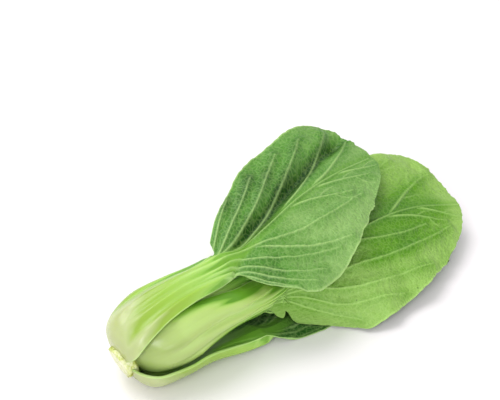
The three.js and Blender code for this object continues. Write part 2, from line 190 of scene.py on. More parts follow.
# %% Where each leaf differs
LEAVES = {
    "outer_leaf_top": dict(
        ring="outer", azimuth=93, breadth=0.97,
        course=[[68, 0.5, 58.5], [103, 9.5, 62], [138, 22, 62.5], [173, 33, 59], [209, 42, 53]],
        facing=[84, 72, 80, 82, 84],
        cut=[[9, 31, 46, 49, 47.5, 44.5, 40, 34, 27.5, 21, 16],
             [13, 21, 27, 32, 36, 38.5, 40, 41, 41.5, 38.5, 23]], round=[0.21, 0.03],
        fold=[[0, 0], [0.2, 0.45]], cup=0.22, wave=2.2, waves=3, phase=0.1,
        veins=[[(0.42, 0.7, 0.74, 0.5), (0.6, 0.7, 0.9, 0.5), (0.76, 0.8, 0.97, 0.4)], []],
        drawn=[
            [(-60, -5), (-30, -5), (0, -5), (12, -3), (24, -1), (40, 0), (90, 0), (144, 0)],
            [(-60, 0), (-30, -0.6), (0, -0.6), (15, 1.6), (28, 5.4), (41, 10.5), (56, 16),
             (75, 19.5), (95, 20.5), (112, 20)],
            [(22, 4), (38, 17), (52, 27.5), (66, 34.5), (76, 38)],
            [(-60, 5.5), (-30, 4.4), (-4, 3), (9, 4.5), (18, 10.5), (32, 21.8), (49, 31),
             (63, 37.5)],
            [(-22, 6.2), (-6, 5.4), (6, 7.5), (15, 15.5), (23, 26), (33, 34), (46, 41)],
            [(-30, 8), (-4, 7.6), (5, 10.5), (11, 17.5), (18, 28), (26, 36), (36, 43)],
            [(-6, 8.4), (0, 10), (5, 14), (10, 22), (16, 31), (23, 39)],
            [(-20, -8.2), (-4, -9), (8, -14), (20, -20.5), (29, -25), (38, -29)],
            [(-14, -6.8), (2, -7.4), (13, -10.5), (26, -15.4), (47, -23), (62, -29)],
            [(-10, -6), (4, -6), (20, -7.4), (36, -11), (56, -17), (76, -25.5), (88, -31)],
            [(12, -4.4), (24, -3.2), (50, -6.5), (77, -15), (98, -24), (110, -31)],
            [(58, -2), (78, -4.6), (102, -12), (122, -22), (132, -29)],
            [(88, -1.2), (106, -3.6), (126, -10), (142, -18)]],
        # painted shade: the far left half, 0.5 darker; painted highlight: the pale patch on the
        # bulb at -67
        tones=[(60, -30, 80, 30, 0.5), (60, 26, 60, 16, -0.1), (-67, -4, 12, 6, -0.14),
               (16, 22, 26, 20, 0.4)],
        # painted shade: the first band darkens the deep valley left of the midrib
        bands=[([16, 50, 90, 140], [-3, -6.5, -12, -21], 4.6, -7, 0.5),
               ([-60, -44, -30, -10], [-14, -13.4, -12.2, -10.4], 1.8, -0.6, 0.42),
               ([-62, -45, -31, -14, 6], [-5, -4.6, -3.4, -2, -2.4], 2.4, 1.1, -0.08),
               ([-56, -43, -31, -10], [3.5, 3.2, 2.6, 1.4], 2.2, -0.7, 0.12),
               ([-72, -56, -43, -31, -5], [10.5, 9.6, 8.6, 8, 5.5], 2.2, -1, 0.14),
               ([-64, -45, -33, -9], [15.5, 13, 11.8, 8.4], 1.5, 0.9, -0.1)],
        wings=[(1, -74, -48, -6, 6, 3.4, 0.6)]),
    "outer_leaf_bottom": dict(
        ring="outer", azimuth=299, lean=4.5,
        course=[[84, -15, 3], [115, -5, 1], [146, 3, 0.8], [178, 6, 0.8], [208, 6, 0.8]],
        facing=[288, 270, 270, 270, 270],
        cut=[spoon(25), [8.5, 13, 19, 23.5, 26, 26.5, 25, 22.5, 19.5, 15, 10]],
        fold=[[0, 0], [0.6, 0.06]], cup=0.02, wave=1.2, waves=3, phase=0.5,
        wings=[(1, -50, -18, -8, 24, -4.5, 0.2), (0, -66, -30, 6, 24, 11, 0.3)],
        neck_from=(-44, -44)),
    "outer_leaf_back": dict(
        ring="outer", azimuth=195, breadth=0.8,
        course=[[86, 26, 13], [116, 45, 6], [148, 64, 2], [180, 78, 1], [208, 88, 1]],
        facing=[208, 245, 264, 268, 270],
        cut=[spoon(32), spoon(34)], cup=0.02, wave=1.2, waves=3, phase=0.8),
    "middle_leaf_front": dict(
        ring="middle", azimuth=12, breadth=1.03,
        course=[[91, -15.5, 31.5], [131, -7.5, 39], [171, 0.5, 39.5], [212, 6, 33], [252, 5, 20]],
        facing=[2, 52, 61, 66, 66],
        cut=[[10, 43, 53.2, 54.2, 53.4, 51.8, 49, 45.2, 40.8, 35.5, 27],
             [9, 20, 28, 34, 38.5, 41.5, 43.5, 45.5, 46.5, 43.5, 26]], round=[0.2, 0.03],
        fold=[[0, 0], [-0.45, 0]], cup=0.09, wave=2, waves=4, phase=0.3,
        veins=[[(0.62, 0.7, 0.9, 0.32), (0.78, 0.8, 0.98, 0.3)],
               [(0.04, 0.7, 0.3, 0.9), (0.16, 0.7, 0.46, 0.9), (0.3, 0.7, 0.62, 0.88),
                (0.46, 0.7, 0.8, 0.85), (0.64, 0.7, 0.94, 0.7)]],
        drawn=[
            [(-60, -3), (-20, -2.4), (10, -1), (40, 0), (90, 0), (166, 0)],
            [(-10, 1), (10, 1.6), (30, 2.6), (50, 3.6), (72, 5.4), (90, 10.5), (110, 13.8),
             (130, 12.6)],
            [(-60, 4), (-24, 3.4), (8, 4.4), (24, 8), (44, 13.3), (60, 16.7), (80, 21.2),
             (104, 23.4), (130, 21.5), (150, 15.6)],
            [(-14, 6), (8, 6.6), (24, 11.5), (38, 21), (54, 29), (73, 34.3), (92, 36.8),
             (114, 39)],
            [(-50, 9.5), (-20, 7.8), (6, 8.2), (17, 13), (25, 21), (33, 30), (48, 37), (69, 44),
             (80, 47)],
            [(-6, 8.4), (4, 9.8), (12, 13.6), (18, 22), (24, 30), (31, 38), (40, 45)]],
        # painted sheen: the pale strip along the left margin at -44
        tones=[(112, -4, 42, 17, 0.62), (98, 20, 30, 10, 0.4), (90, -44, 70, 8, -0.3),
               (162, 0, 12, 50, -0.3), (50, 36, 40, 14, -0.2)],
        bands=[([-66, -46, -30, -8], [-14.4, -13.4, -12, -10.2], 2.1, -0.4, 0.55),
               ([-36, -24, -8], [-9.2, -8.4, -7.2], 1, -0.6, 0.42),
               ([-62, -37], [-8.2, -8], 1.5, -0.5, 0.08),
               ([-74, -55, -37, -13, 0], [-4, -4, -5.5, -5.6, -4.5], 2.2, 1.4, -0.2),
               ([-66, -35, -8], [0, -1.8, -2.2], 1.6, -0.9, 0.13),
               ([-70, -55, -34, -9, 8], [5.8, 5, 2.1, 0.6, 0.2], 2.4, 0.9, -0.14),
               ([-62, -34, -10], [10, 7.4, 5], 2.2, -0.3, 0.1),
               # partly the stalk's greener flank, partly painted shade: this last band, darker but
               # not raised, along the lower flank
               ([-66, -36, -12], [17, 14, 10], 4.2, 0, 0.45)],
        wings=[(0, -86, -58, -34, -10, 3.6, 0.3), (0, -32, -4, 5, 8, 6.5, 0.4)], settle=7,
        nicks=[[(10, 1.2, 13)], []]),
    "middle_leaf_back": dict(
        ring="middle", azimuth=150, breadth=0.78, reach=0.9,
        course=[[88, 20, 40], [120, 36, 40], [152, 52, 39], [184, 65, 34], [214, 74, 26]],
        facing=[147, 122, 112, 108, 106],
        cut=[spoon(17), spoon(36)],
        fold=[[-0.1, 0], [0, 0]], cup=0.3, wave=1.6, waves=3, phase=0.2),
    "middle_leaf_bottom": dict(
        ring="middle", azimuth=246, breadth=0.82, reach=0.92,
        course=[[86, 3.5, 11.5], [118, 14, 9.5], [150, 26, 8.5], [182, 34, 8], [212, 40, 8]],
        facing=[255, 268, 270, 270, 270],
        cut=[spoon(28), spoon(26)], cup=0.02, wave=0.8, waves=3, phase=0.6),
    "inner_leaf_front": dict(
        ring="inner", azimuth=60,
        course=[[86, -1, 42.5], [118, 6, 38], [148, 12, 32], [178, 17, 26], [206, 21, 22]],
        facing=[60, 56, 68, 75, 78],
        cut=[spoon(20), spoon(17)],
        fold=[[-0.2, 0], [-0.4, 0]], cup=0.15, wave=0.8, waves=2, phase=0.4),
    "inner_leaf_back": dict(
        ring="inner", azimuth=182, breadth=0.95, reach=0.9,
        course=[[86, 12.5, 31.4], [116, 27, 27], [144, 37, 22], [172, 46, 19.5], [198, 53, 18]],
        facing=[172, 130, 105, 100, 98],
        cut=[spoon(17), spoon(19)],
        fold=[[-0.1, 0], [0, 0]], cup=0.1, wave=0.6, waves=2, phase=0.9),
    "inner_leaf_bottom": dict(
        ring="inner", azimuth=300, reach=0.94,
        course=[[86, -2.5, 21.5], [116, 5, 17.5], [144, 6, 15.5], [172, 7, 14.5], [200, 7, 14]],
        facing=[298, 272, 270, 270, 270],
        cut=[spoon(24), spoon(21)], cup=0.02, wave=0.5, waves=2, phase=0.15),
    "heart_leaf": dict(
        ring="heart", azimuth=112,
        course=[[80, 2.2, 33.6], [89, 2.7, 32.2], [98, 3.2, 31], [106, 3.8, 30], [114, 4.6, 29]],
        facing=[110, 100, 92, 90, 90],
        cut=[spoon(5), spoon(5.5)], cup=0.1, wave=0.3, waves=2, phase=0.7),
}
LEAVES = {name: {**USUAL, **leaf} for name, leaf in LEAVES.items()}
print("leaves:", len(LEAVES))
print("widest blade, mm:", max(sum(map(max, leaf["cut"])) for leaf in LEAVES.values()))


# %% The head's axis, and a direction square to it
def axis_at(x):
    """Point and direction of the axis at places along the head."""
    bent = np.minimum(x, AXIS_BENT)
    height = ROOT_HEIGHT + ROOT_PITCH * bent - AXIS_SAG * bent * np.maximum(bent, 0)
    slope = np.where(x < AXIS_BENT, ROOT_PITCH - 2 * AXIS_SAG * np.maximum(x, 0), 0)
    point = np.stack([x, 0 * x, height], -1)
    return point, unit(np.stack([1 + 0 * x, 0 * x, slope], -1))


def outward(azimuth, along):
    """The direction of an azimuth (0 front, 90 up), square to a given line."""
    angle = np.radians(azimuth)
    out = np.stack([0 * angle, -np.cos(angle), np.sin(angle)], -1)
    return unit(out - along * np.sum(out * along, -1, keepdims=True))


# %% A leaf's key sections, from foot to tip
def key_sections(leaf):
    """One list for each measure of a leaf: the foot's sections, then the midrib's."""
    neck_half, foot = RINGS[leaf["ring"]]
    x, radius, half, bow, thick = (np.array(column, float) for column in zip(*foot))
    point, along = axis_at(x)
    clasp = smooth(x, *CLASP)
    reach = mix(1, leaf["reach"], clasp)
    apart = radius * reach + leaf["lean"] * smooth(x, *LEAN)
    crest = point + outward(np.full(len(x), leaf["azimuth"]), along) * apart[:, None]
    clasping = np.minimum(np.sin(np.radians(bow)) * leaf["breadth"], 1)
    round_root = np.degrees(np.arcsin(clasping))
    neck_thick = neck_half * math.tan(math.radians(NECK_BOW) / 2) + SOLID_BLADE
    return dict(
        crest=np.vstack([crest, leaf["course"]]),
        facing=[leaf["azimuth"]] * len(foot) + leaf["facing"],
        half=np.append(half * leaf["breadth"], neck_half),
        bow=np.append(mix(round_root, bow, clasp), NECK_BOW),
        thick=np.append(thick, neck_thick),
        neck=len(foot), tip=len(foot) + len(leaf["course"]) - 1, neck_half=neck_half)


def crest_at(keys, place):
    """Point of the crest line at a place from foot to tip."""
    return np.stack([through(keys["crest"][:, axis], place) for axis in range(3)], -1)


# %% The section of a leaf at any place: where it is, how it is turned, how it bows
def rib_half(neck_half, t):
    """Half width of the midrib at a share t of the blade."""
    flare = neck_half - RIB_TIP_HALF - RIB_BODY_HALF
    return RIB_TIP_HALF + RIB_BODY_HALF * (1 - t) + flare * np.exp(-t / RIB_FLARE)


def section_at(keys, place):
    """Crest, out, side, half width, bow, rise, thickness and flatness at places."""
    neck, tip = keys["neck"], keys["tip"]
    crest = crest_at(keys, place)
    travel = unit(crest_at(keys, place + 0.02) - crest_at(keys, place - 0.02))
    upright = axis_at(crest[..., 0])[1]
    along = unit(mix(upright, travel, smooth(place, neck - 3, neck - 1)[..., None]))
    out = outward(through(keys["facing"], place), along)
    side = np.cross(along, out)
    stalk = np.minimum(place, neck)
    t = np.maximum(place - neck, 0) / (tip - neck)
    in_stalk = place <= neck
    half = np.where(in_stalk, through(keys["half"], stalk), rib_half(keys["neck_half"], t))
    rib_bow = mix(NECK_BOW, RIB_BOW, smooth(t, 0, 0.15))
    bow = np.radians(np.where(in_stalk, through(keys["bow"], stalk), rib_bow))
    return dict(crest=crest, out=out, side=side, half=half, bow=bow, rise=half * np.tan(bow / 2),
                thick=through(keys["thick"], stalk), flat=smooth(place, neck - 1, neck))


# %% [markdown]
# ## The outline of a blade
# A blade is spoon shaped: it widens fast from the neck, is broadest before its
# middle, and closes in a round tip. Its margin is never a clean curve: it waves
# gently and has small nicks where it was bitten or torn. It could be cut out of a
# sheet with a boolean, but that leaves splinters along the cut. Here each row of the
# leaf ends at the margin, so that the margin can be rounded.

# %% Outline
def outline(leaf, side, t):
    """Half width of a blade at a share t of its length, on side 0, right, or 1, left."""
    cut = leaf["cut"][side]
    return through(cut, t * (len(cut) - 1))


def bend(leaf, t, across):
    """How far the blade stands back from the flat, as in the solid."""
    bent = np.zeros(np.broadcast(t, across).shape)
    for side, here in ((0, across >= 0), (1, across < 0)):
        distance = np.abs(across)
        share = distance / max(leaf["cut"][side])
        ripple = np.sin(math.tau * (leaf["waves"] * t + leaf["phase"] + 0.37 * side))
        fold = mix(*leaf["fold"][side], smooth(t, 0.2, 0.7))
        value = (leaf["cup"] * share - fold) * distance + leaf["wave"] * ripple * share ** 3
        bent = np.where(here, value, bent)
    return bent


# %% [markdown]
# ## Veins
# The stalk's strands fan out at the neck and become the side veins of the blade.
# They leave the midrib at a small angle, bow outwards and bend forward near the
# margin. A texture could draw them, but on a leaf's back they stand up as ridges that
# catch the light. So each is a bent line on the leaf laid flat, thick where it starts
# and hair thin at its end, that raises the surface and makes it paler. Short branches
# leave it for the margin.

# %% One bent line
def bent_line(start, leave, arrive, end, pieces=26):
    """Points of a cubic curve that leaves start by one point and reaches end by another."""
    t = np.linspace(0, 1, pieces + 1)[:, None]
    start, leave, arrive, end = (np.array(p, float) for p in (start, leave, arrive, end))
    return ((1 - t) ** 3 * start + 3 * t * (1 - t) ** 2 * leave
            + 3 * t * t * (1 - t) * arrive + t ** 3 * end)


# %% Branches of one vein
TWIG_FIRST, TWIG_EVERY = 20, 12  # along a vein, where its first branch leaves, and the next ones
TWIG_ROOM, TWIG_SIZE = 15, (8, 15)  # length of vein for each branch, and how long branches are


def twigs(main, draw):
    """Short branches of a vein, most of them to one side and every third to the other."""
    steps = np.linalg.norm(np.diff(main, axis=0), axis=1)
    reach = np.concatenate([[0], np.cumsum(steps)])
    lines = []
    for n in range(int(reach[-1] / TWIG_ROOM)):
        spot = TWIG_FIRST + TWIG_EVERY * n + draw.uniform(-3, 3)
        at = int(np.searchsorted(reach, spot))
        if at > len(main) - 4:
            break
        heading = main[at + 1] - main[at]
        heading = heading / np.linalg.norm(heading)
        turn = math.radians(draw.uniform(32, 48)) * (1 if n % 3 else -1)
        cos, sin = math.cos(turn), math.sin(turn)
        away = heading @ np.array([[cos, sin], [-sin, cos]])
        size = draw.uniform(*TWIG_SIZE)
        tip = main[at] + (away * 0.75 + heading * 0.45) * size
        lines.append(bent_line(main[at], main[at] + away * size * 0.4,
                               main[at] + (away + heading * 0.3) * size * 0.7, tip, 10))
    return lines


# %% Side veins of one half of a blade
def side_veins(leaf, keys, length, side, veins, seed):
    """Main veins with their branches: points of each, its size at the start and at the end."""
    draw = np.random.default_rng(seed)
    sign = 1 if side == 0 else -1
    lines = []
    for first, off, last, share in veins:
        start = np.array([first * length, off * rib_half(keys["neck_half"], max(first, 0))])
        edge = min(max(last, 0.02), 0.97)
        end = np.array([last * length, share * outline(leaf, side, edge)])
        run = end - start
        # forward at first, outwards in the middle, and forward again by the margin
        leave = start + run * (0.4, 0.30)
        arrive = start + run * (0.68, 0.80)
        main = bent_line(start, leave, arrive, end)
        lines.append((main * (1, sign), 1.0, 0.22))
        lines += [(twig * (1, sign), 0.34, 0.1) for twig in twigs(main, draw)]
    return lines


# %% How near each point of the leaf is to a vein
VEIN_REACH, NO_VEIN = 9, 30.0  # how far a vein is looked for, and the gap where there is none
HAIR_HALF, VEIN_HALF, VEIN_HEIGHT = 0.38, 0.62, 1.15


def vein_fields(flat, lines):
    """Height and paleness of the veins at points of the flat leaf, and the gap to the next."""
    shape = flat.shape[:-1]
    points = flat.reshape(-1, 2)
    height = np.zeros(len(points))
    pale = np.zeros(len(points))
    gap = np.full(len(points), NO_VEIN)
    for line, strong, weak in lines:
        low, high = line.min(0) - VEIN_REACH, line.max(0) + VEIN_REACH
        near = np.flatnonzero(np.all((points > low) & (points < high), axis=1))
        if not len(near):
            continue
        spot = points[near]
        best = np.full(len(near), 1e9)
        size = np.zeros(len(near))
        for n in range(len(line) - 1):
            a, run = line[n], line[n + 1] - line[n]
            along = np.clip((spot - a) @ run / (run @ run), 0, 1)
            distance = np.linalg.norm(spot - a - along[:, None] * run, axis=1)
            closer = distance < best
            best = np.where(closer, distance, best)
            far = (n + along) / (len(line) - 1)
            size = np.where(closer, mix(strong, weak, far) * smooth(far, -0.02, 0.15), size)
        width = (HAIR_HALF + VEIN_HALF * size) * (1 + 1.6 * smooth(-spot[:, 0], -5, 40))
        ridge = VEIN_HEIGHT * size ** 0.8 * np.exp(-(best / width) ** 2)
        paler = mix(0.35, 1, size) * np.exp(-(best / (0.75 * width)) ** 2)
        height[near] = np.maximum(height[near], ridge)
        pale[near] = np.maximum(pale[near], paler)
        if strong > 0.5:
            gap[near] = np.minimum(gap[near], best)
    return height.reshape(shape), pale.reshape(shape), gap.reshape(shape)


# %% [markdown]
# ## The fine surface of one leaf
# The leaf is a sheet of rows from its foot to its tip and columns from its left
# margin to its right one. In the stalk a row bows round the crest; past the neck it
# has the round midrib in its middle and the blade to either side. A solidify
# modifier would make that sheet equally thick all over, but a stalk is 6 mm thick
# and a blade half a millimetre. So the back is the sheet with its ribs and veins
# raised, the face is the same sheet a leaf's thickness further in, and a rounded
# margin joins the two.

# %% Rows and columns
FOOT = -0.35  # place of the first row, a little before the first key section
CROWDING = 1.15  # above 1, columns stand closer near the midrib


def stalk_run(keys):
    """Places from foot to neck, and the distance along the crest from the foot to each."""
    places = np.linspace(FOOT, keys["neck"], 240)
    steps = np.linalg.norm(np.diff(crest_at(keys, places), axis=0), axis=1)
    return places, np.concatenate([[0], np.cumsum(steps)])


def leaf_rows(keys, spacing):
    """Places of the rows along the stalk, shares of the blade for its rows, its length."""
    places, run = stalk_run(keys)
    stalk = np.interp(np.linspace(0, run[-1], int(run[-1] / spacing) + 1), run, places)
    length = np.linalg.norm(np.diff(keys["crest"][keys["neck"]:], axis=0), axis=1).sum()
    return stalk[:-1], np.linspace(0, 1, int(length / spacing) + 1), length


def leaf_columns(count):
    """Signed shares from the left margin to the right one, closer near the midrib."""
    even = np.linspace(-1, 1, 2 * (count // 2) + 1)
    return np.sign(even) * np.abs(even) ** CROWDING


# %% The sheet: rows of the stalk, then rows of the blade
def stalk_sheet(keys, rows, columns):
    """Sections of the stalk, with the distance across and the depth of each column."""
    s = section_at(keys, np.repeat(rows[:, None], len(columns), 1))
    angle = columns * s["bow"]
    across = s["half"] * np.sin(angle) / np.sin(s["bow"])
    depth = s["rise"] * (1 - np.cos(angle)) / (1 - np.cos(s["bow"]))
    return s, across, depth


NECK_OPENS = (0, 0.05)  # share of the blade over which the stalk's sides turn into margins


def blade_reach(leaf, keys, side, edge, length, seed):
    """Half width of the fine blade at its rows, with its waves and nicks."""
    plain = outline(leaf, side, edge - leaf["round"][side] * edge ** 4)
    place = edge * length
    widest = max(leaf["cut"][side])
    # waves about 22 mm long, and smaller ones of 7 mm on them
    wander = 0.012 * widest * swell(place, 0 * place + 7 * side, 22, seed + side)
    wander += 0.0035 * widest * swell(place, 0 * place, 7, seed + 5 + side)
    reach = plain + wander * smooth(edge, 0.04, 0.14)
    beside_rib = rib_half(keys["neck_half"], edge) + 0.4
    reach = mix(keys["neck_half"], np.maximum(reach, beside_rib), smooth(edge, *NECK_OPENS))
    for at, width, deep in leaf["nicks"][side]:
        reach -= deep * np.exp(-(np.abs(place - at) / width) ** 1.5)
    return reach


def blade_sheet(leaf, keys, edge, columns, length, seed):
    """Sections of the blade with bowed rows at its round tip."""
    right, left = (blade_reach(leaf, keys, side, edge, length, seed) for side in (0, 1))
    share = np.abs(columns)[None, :]
    to_right = columns[None, :] >= 0
    edge = edge[:, None]
    t = edge - np.where(to_right, *leaf["round"]) * edge ** 4 * share ** 2
    ragged = 0.004 * swell(columns[None, :] * 60, edge * 0, 9, seed + 9)
    t = t - np.abs(ragged) * smooth(edge, 0.9, 1)
    s = section_at(keys, mix(keys["neck"], keys["tip"], t) + 1e-6)
    angle = columns[None, :] * s["bow"]
    neck_across = keys["neck_half"] * np.sin(angle) / np.sin(s["bow"])
    spread = np.where(to_right, right[:, None], left[:, None]) * columns[None, :]
    return s, mix(neck_across, spread, smooth(edge, *NECK_OPENS)), t


# %% The round of the midrib, which sinks into the blade with soft feet
def rib_depth(s, across, t):
    """Depth of the back under the crest: the bow of the rib, then the flat of the blade."""
    inside = np.clip(np.abs(across) / s["half"], 0, 1)
    angle = np.arcsin(inside * np.sin(s["bow"]))
    bowed = s["rise"] * (1 - np.cos(angle)) / (1 - np.cos(s["bow"]))
    soft = s["rise"] * (1 - np.exp(-(across / (0.78 * s["half"])) ** 2))
    return mix(bowed, soft, smooth(t, 0, 0.12))


def grid_normals(points, facing):
    """Normals of a grid of points, on the side that facing is on."""
    along = np.gradient(points, axis=0)
    over = np.gradient(points, axis=1)
    normal = unit(np.cross(along, over))
    turn = np.sign(np.sum(normal * facing, -1, keepdims=True))
    return normal * np.where(turn == 0, 1, turn)


# %% Strands of the stalk
def stalk_strands(column, along, stalk_length, seed):
    """Height of the strands under the skin of the stalk, strongest at the neck."""
    ripe = np.clip(1 + along / stalk_length, 0, 1)
    fade = ripe ** 1.6 * (1 - smooth(along, -8, 14)) * (1 - 0.8 * smooth(np.abs(column), 0.55, 0.9))
    # broad strands, 2.6 and 4.3 of them to a half width, and fine ones, 9.5 of them
    broad = (np.cos(math.tau * (2.6 * column + 0.1 * seed))
             + 0.6 * np.cos(math.tau * (4.3 * column + 0.37 * seed)))
    fine = np.cos(math.tau * (9.5 * column + 0.7 * seed))
    return fade * (0.30 * broad + 0.08 * fine)


# %% Bands and soft forms
def band_share(band, along, across):
    """1 in the middle of a long band of a leaf, and 0 away from it."""
    xs, ys, width = band
    inside = smooth(along, xs[0] - 14, xs[0] + 8) * (1 - smooth(along, xs[-1] - 8, xs[-1] + 14))
    return inside * np.exp(-((across - np.interp(along, xs, ys)) / width) ** 2)


def leaf_form(leaf, along, across, t, seed):
    """Soft waves and wrinkles of the blade, with the leaf's own ridges and channels."""
    share = np.abs(across) / max(map(max, leaf["cut"]))
    # swells 38 and 14 mm long, and creases 9 and 5 mm apart, deepest beside the midrib
    soft = 0.8 * swell(along, across, 38, seed + 20) * smooth(share, 0.1, 0.8)
    soft += 0.35 * swell(along, across, 14, seed + 21) * smooth(share, 0.05, 0.4)
    creases = [np.abs(swell(along, across, size, seed + n)) for size, n in ((9, 22), (5, 23))]
    soft += 0.4 * (creases[0] + 0.6 * creases[1]) * smooth(share, 0.05, 0.3)
    form = soft * smooth(t, 0, 0.12)
    for *band, lift, _ in leaf["bands"]:
        form = form - lift * band_share(band, along, across)
    return form


# %% The leaf laid flat: the section of every point, and its place along and across
def lay_out(leaf, keys, spacing, count, seed):
    """All rows and columns of a leaf: sections, places on the flat leaf, share of the blade."""
    rows, edge, length = leaf_rows(keys, spacing)
    columns = leaf_columns(count)
    places, run = stalk_run(keys)
    stalk, across, depth = stalk_sheet(keys, rows, columns)
    blade, blade_across, t = blade_sheet(leaf, keys, edge, columns, length, seed)
    laid = {key: np.concatenate([stalk[key], blade[key]]) for key in stalk}
    laid["rib"] = np.concatenate([depth, rib_depth(blade, blade_across, t)]) - laid["rise"]
    before_neck = np.interp(rows, places, run)[:, None] - run[-1]
    along = np.concatenate([np.repeat(before_neck, len(columns), 1), t * length])
    across = np.concatenate([across, blade_across])
    for side, start, full, still, end, wide, inner in leaf["wings"]:
        near = smooth(along, start, full) * (1 - smooth(along, still, end))
        outer = smooth(columns if side == 0 else -columns, inner, 1)
        across = across + (1 - 2 * side) * wide * near * outer
    laid.update(along=along, across=across, t=np.concatenate([0 * stalk["half"], t]),
                column=columns[None, :], length=length, stalk_length=run[-1], split=len(rows))
    return laid


def leaf_veins(leaf, keys, length, seed):
    """All veins of a leaf: by the rule, and drawn one by one where they are known."""
    lines = []
    for side in (0, 1):
        lines += side_veins(leaf, keys, length, side, leaf["veins"][side], seed + 2 + side)
    for drawn in leaf["drawn"]:
        place = np.linspace(0, len(drawn) - 1, 6 * len(drawn))
        line = np.stack([through([p[axis] for p in drawn], place) for axis in (0, 1)], -1)
        lines.append((line, 1.0, 0.3))
    return lines


# %% Back and face
INTO_BLADE, INTO_NECK = (-6, 10), (-58, -4)  # along the leaf, where blade and veins set in
PUFF, PUFF_GAP = 1.5, 4.6  # how far the blade puffs up between veins, and how near to them


def on_table(points, settle):
    """Points with none under the table: what would be is bent up, softer over more settle."""
    height = points[..., 2]
    points[..., 2] = (height + np.sqrt(height ** 2 + settle ** 2)) / 2
    return points


def back_and_face(leaf, laid, height, puff, seed):
    """Points of the leaf's back with its ribs and veins, and of its smoother face."""
    along, across, t = laid["along"], laid["across"], laid["t"]
    in_blade = smooth(along, *INTO_BLADE)
    bent = bend(leaf, t, across) * smooth(along, leaf["neck_from"][0], 2)
    hollow = PUFF * puff * in_blade * smooth(np.abs(across), 2, 12)
    sheet = laid["rise"] + bent + leaf_form(leaf, along, across, t, seed) + hollow
    plain = sheet + laid["rib"] * (1 - 0.85 * smooth(t, 0.7, 1))
    strands = stalk_strands(laid["column"], along, laid["stalk_length"], seed)

    def at_depth(depth):
        sideways = laid["crest"] + laid["side"] * across[..., None]
        return on_table(sideways - laid["out"] * depth[..., None], leaf["settle"])

    back = at_depth(plain - height * smooth(along, *INTO_NECK) - strands)
    smooth_back, thin = at_depth(plain), at_depth(sheet + 0.4 * height * in_blade)
    thick = STALK_MARGIN + (laid["thick"] - STALK_MARGIN) * (1 - laid["column"] ** 2)
    sunk = smooth_back - grid_normals(smooth_back, laid["out"]) * thick[..., None]
    thin_face = thin - grid_normals(thin, laid["out"]) * BLADE
    return back, mix(sunk, thin_face, laid["flat"][..., None])


# %% What the skin needs to know
def skin_measures(leaf, laid, pale, puff, seed):
    """Measures of each point, by the names that the skin reads."""
    along, across = laid["along"], laid["across"]
    # painted shade: darker beside the veins, where the blade sinks between its puffs, with a gentle
    # random tone over it
    shade = 0.3 * (1 - puff) + 0.05 * swell(along, across, 30, seed + 30)
    shade = shade * smooth(along, *INTO_BLADE)
    # tone patches: some are the leaf's own tone, some painted shade, a painted sheen or a painted
    # highlight
    for x, y, reach_x, reach_y, more in leaf["tones"]:
        patch = np.exp(-((along - x) / reach_x) ** 2 - ((across - y) / reach_y) ** 2)
        shade = shade + more * patch
    # bands: greener channels and paler ridges, and painted shade in a crease and on a shadowed
    # flank
    for *band, _, more in leaf["bands"]:
        shade = shade + more * band_share(band, along, across)
    beside_rib = smooth(np.abs(across) - 0.85 * laid["half"], -1.2, 3.2)
    blade = np.maximum(beside_rib, 0.8 * smooth(laid["t"], -0.02, 0.3))
    return dict(
        along_mm=along, across_mm=across, vein=pale * smooth(along, *INTO_NECK),
        blade=blade * smooth(along, leaf["neck_from"][1], 6),
        green=0.85 * np.clip(1 + along / laid["stalk_length"], 0, 1),
        margin=np.abs(laid["column"]) + 0 * along, shade=shade)


# %% The whole leaf as closed loops, one for each row
RIM = np.radians([40, 90, 140])


def rim_points(back, face, inner):
    """Three points that round the margin between the back and the face of the leaf."""
    middle, half = (back + face) / 2, (back - face) / 2
    size = np.linalg.norm(half, axis=-1, keepdims=True)
    away = back - inner
    away = away - half * np.sum(away * half, -1, keepdims=True) / np.maximum(size, TINY) ** 2
    away = unit(away) * size * 0.6
    return [(middle + half * math.cos(a) + away * math.sin(a))[:, None] for a in RIM]


def round_loop(back, face):
    """A measure of the back and of the face, taken round the loops over both margins."""
    ends = np.repeat(back[:, -1:], len(RIM), 1), np.repeat(back[:, :1], len(RIM), 1)
    return np.concatenate([back, ends[0], face[:, ::-1], ends[1]], axis=1)


def grow_leaf(name, spacing, count):
    """Points of a leaf in loops round its rows, its skin's measures, and the neck's row."""
    leaf = LEAVES[name]
    keys = key_sections(leaf)
    seed = 40 + 17 * list(LEAVES).index(name)
    laid = lay_out(leaf, keys, spacing, count, seed)
    flat = np.stack([laid["along"], laid["across"]], -1)
    height, pale, gap = vein_fields(flat, leaf_veins(leaf, keys, laid["length"], seed))
    puff = 1 - np.exp(-(gap / PUFF_GAP) ** 2)
    back, face = back_and_face(leaf, laid, height, puff, seed)
    right = rim_points(back[:, -1], face[:, -1], back[:, -3])
    left = rim_points(face[:, 0], back[:, 0], face[:, 2])
    loops = np.concatenate([back, *right, face[:, ::-1], *left], axis=1)
    measures = skin_measures(leaf, laid, pale, puff, seed)
    measures = {key: round_loop(value, value) for key, value in measures.items()}
    measures["upper"] = round_loop(0 * laid["along"], 0 * laid["along"] + 1)
    return loops, measures, laid["split"]


# %% [markdown]
# ## From loops to a mesh
# Loops of equal length join into a skin of four-sided faces, and a flat cap closes
# each end. Stalk and blade are pieces of their own, as in the solids. Made one by
# one they would show a crease at the neck. So both are cut from one whole leaf and
# keep its normals, and no seam shows where they meet.

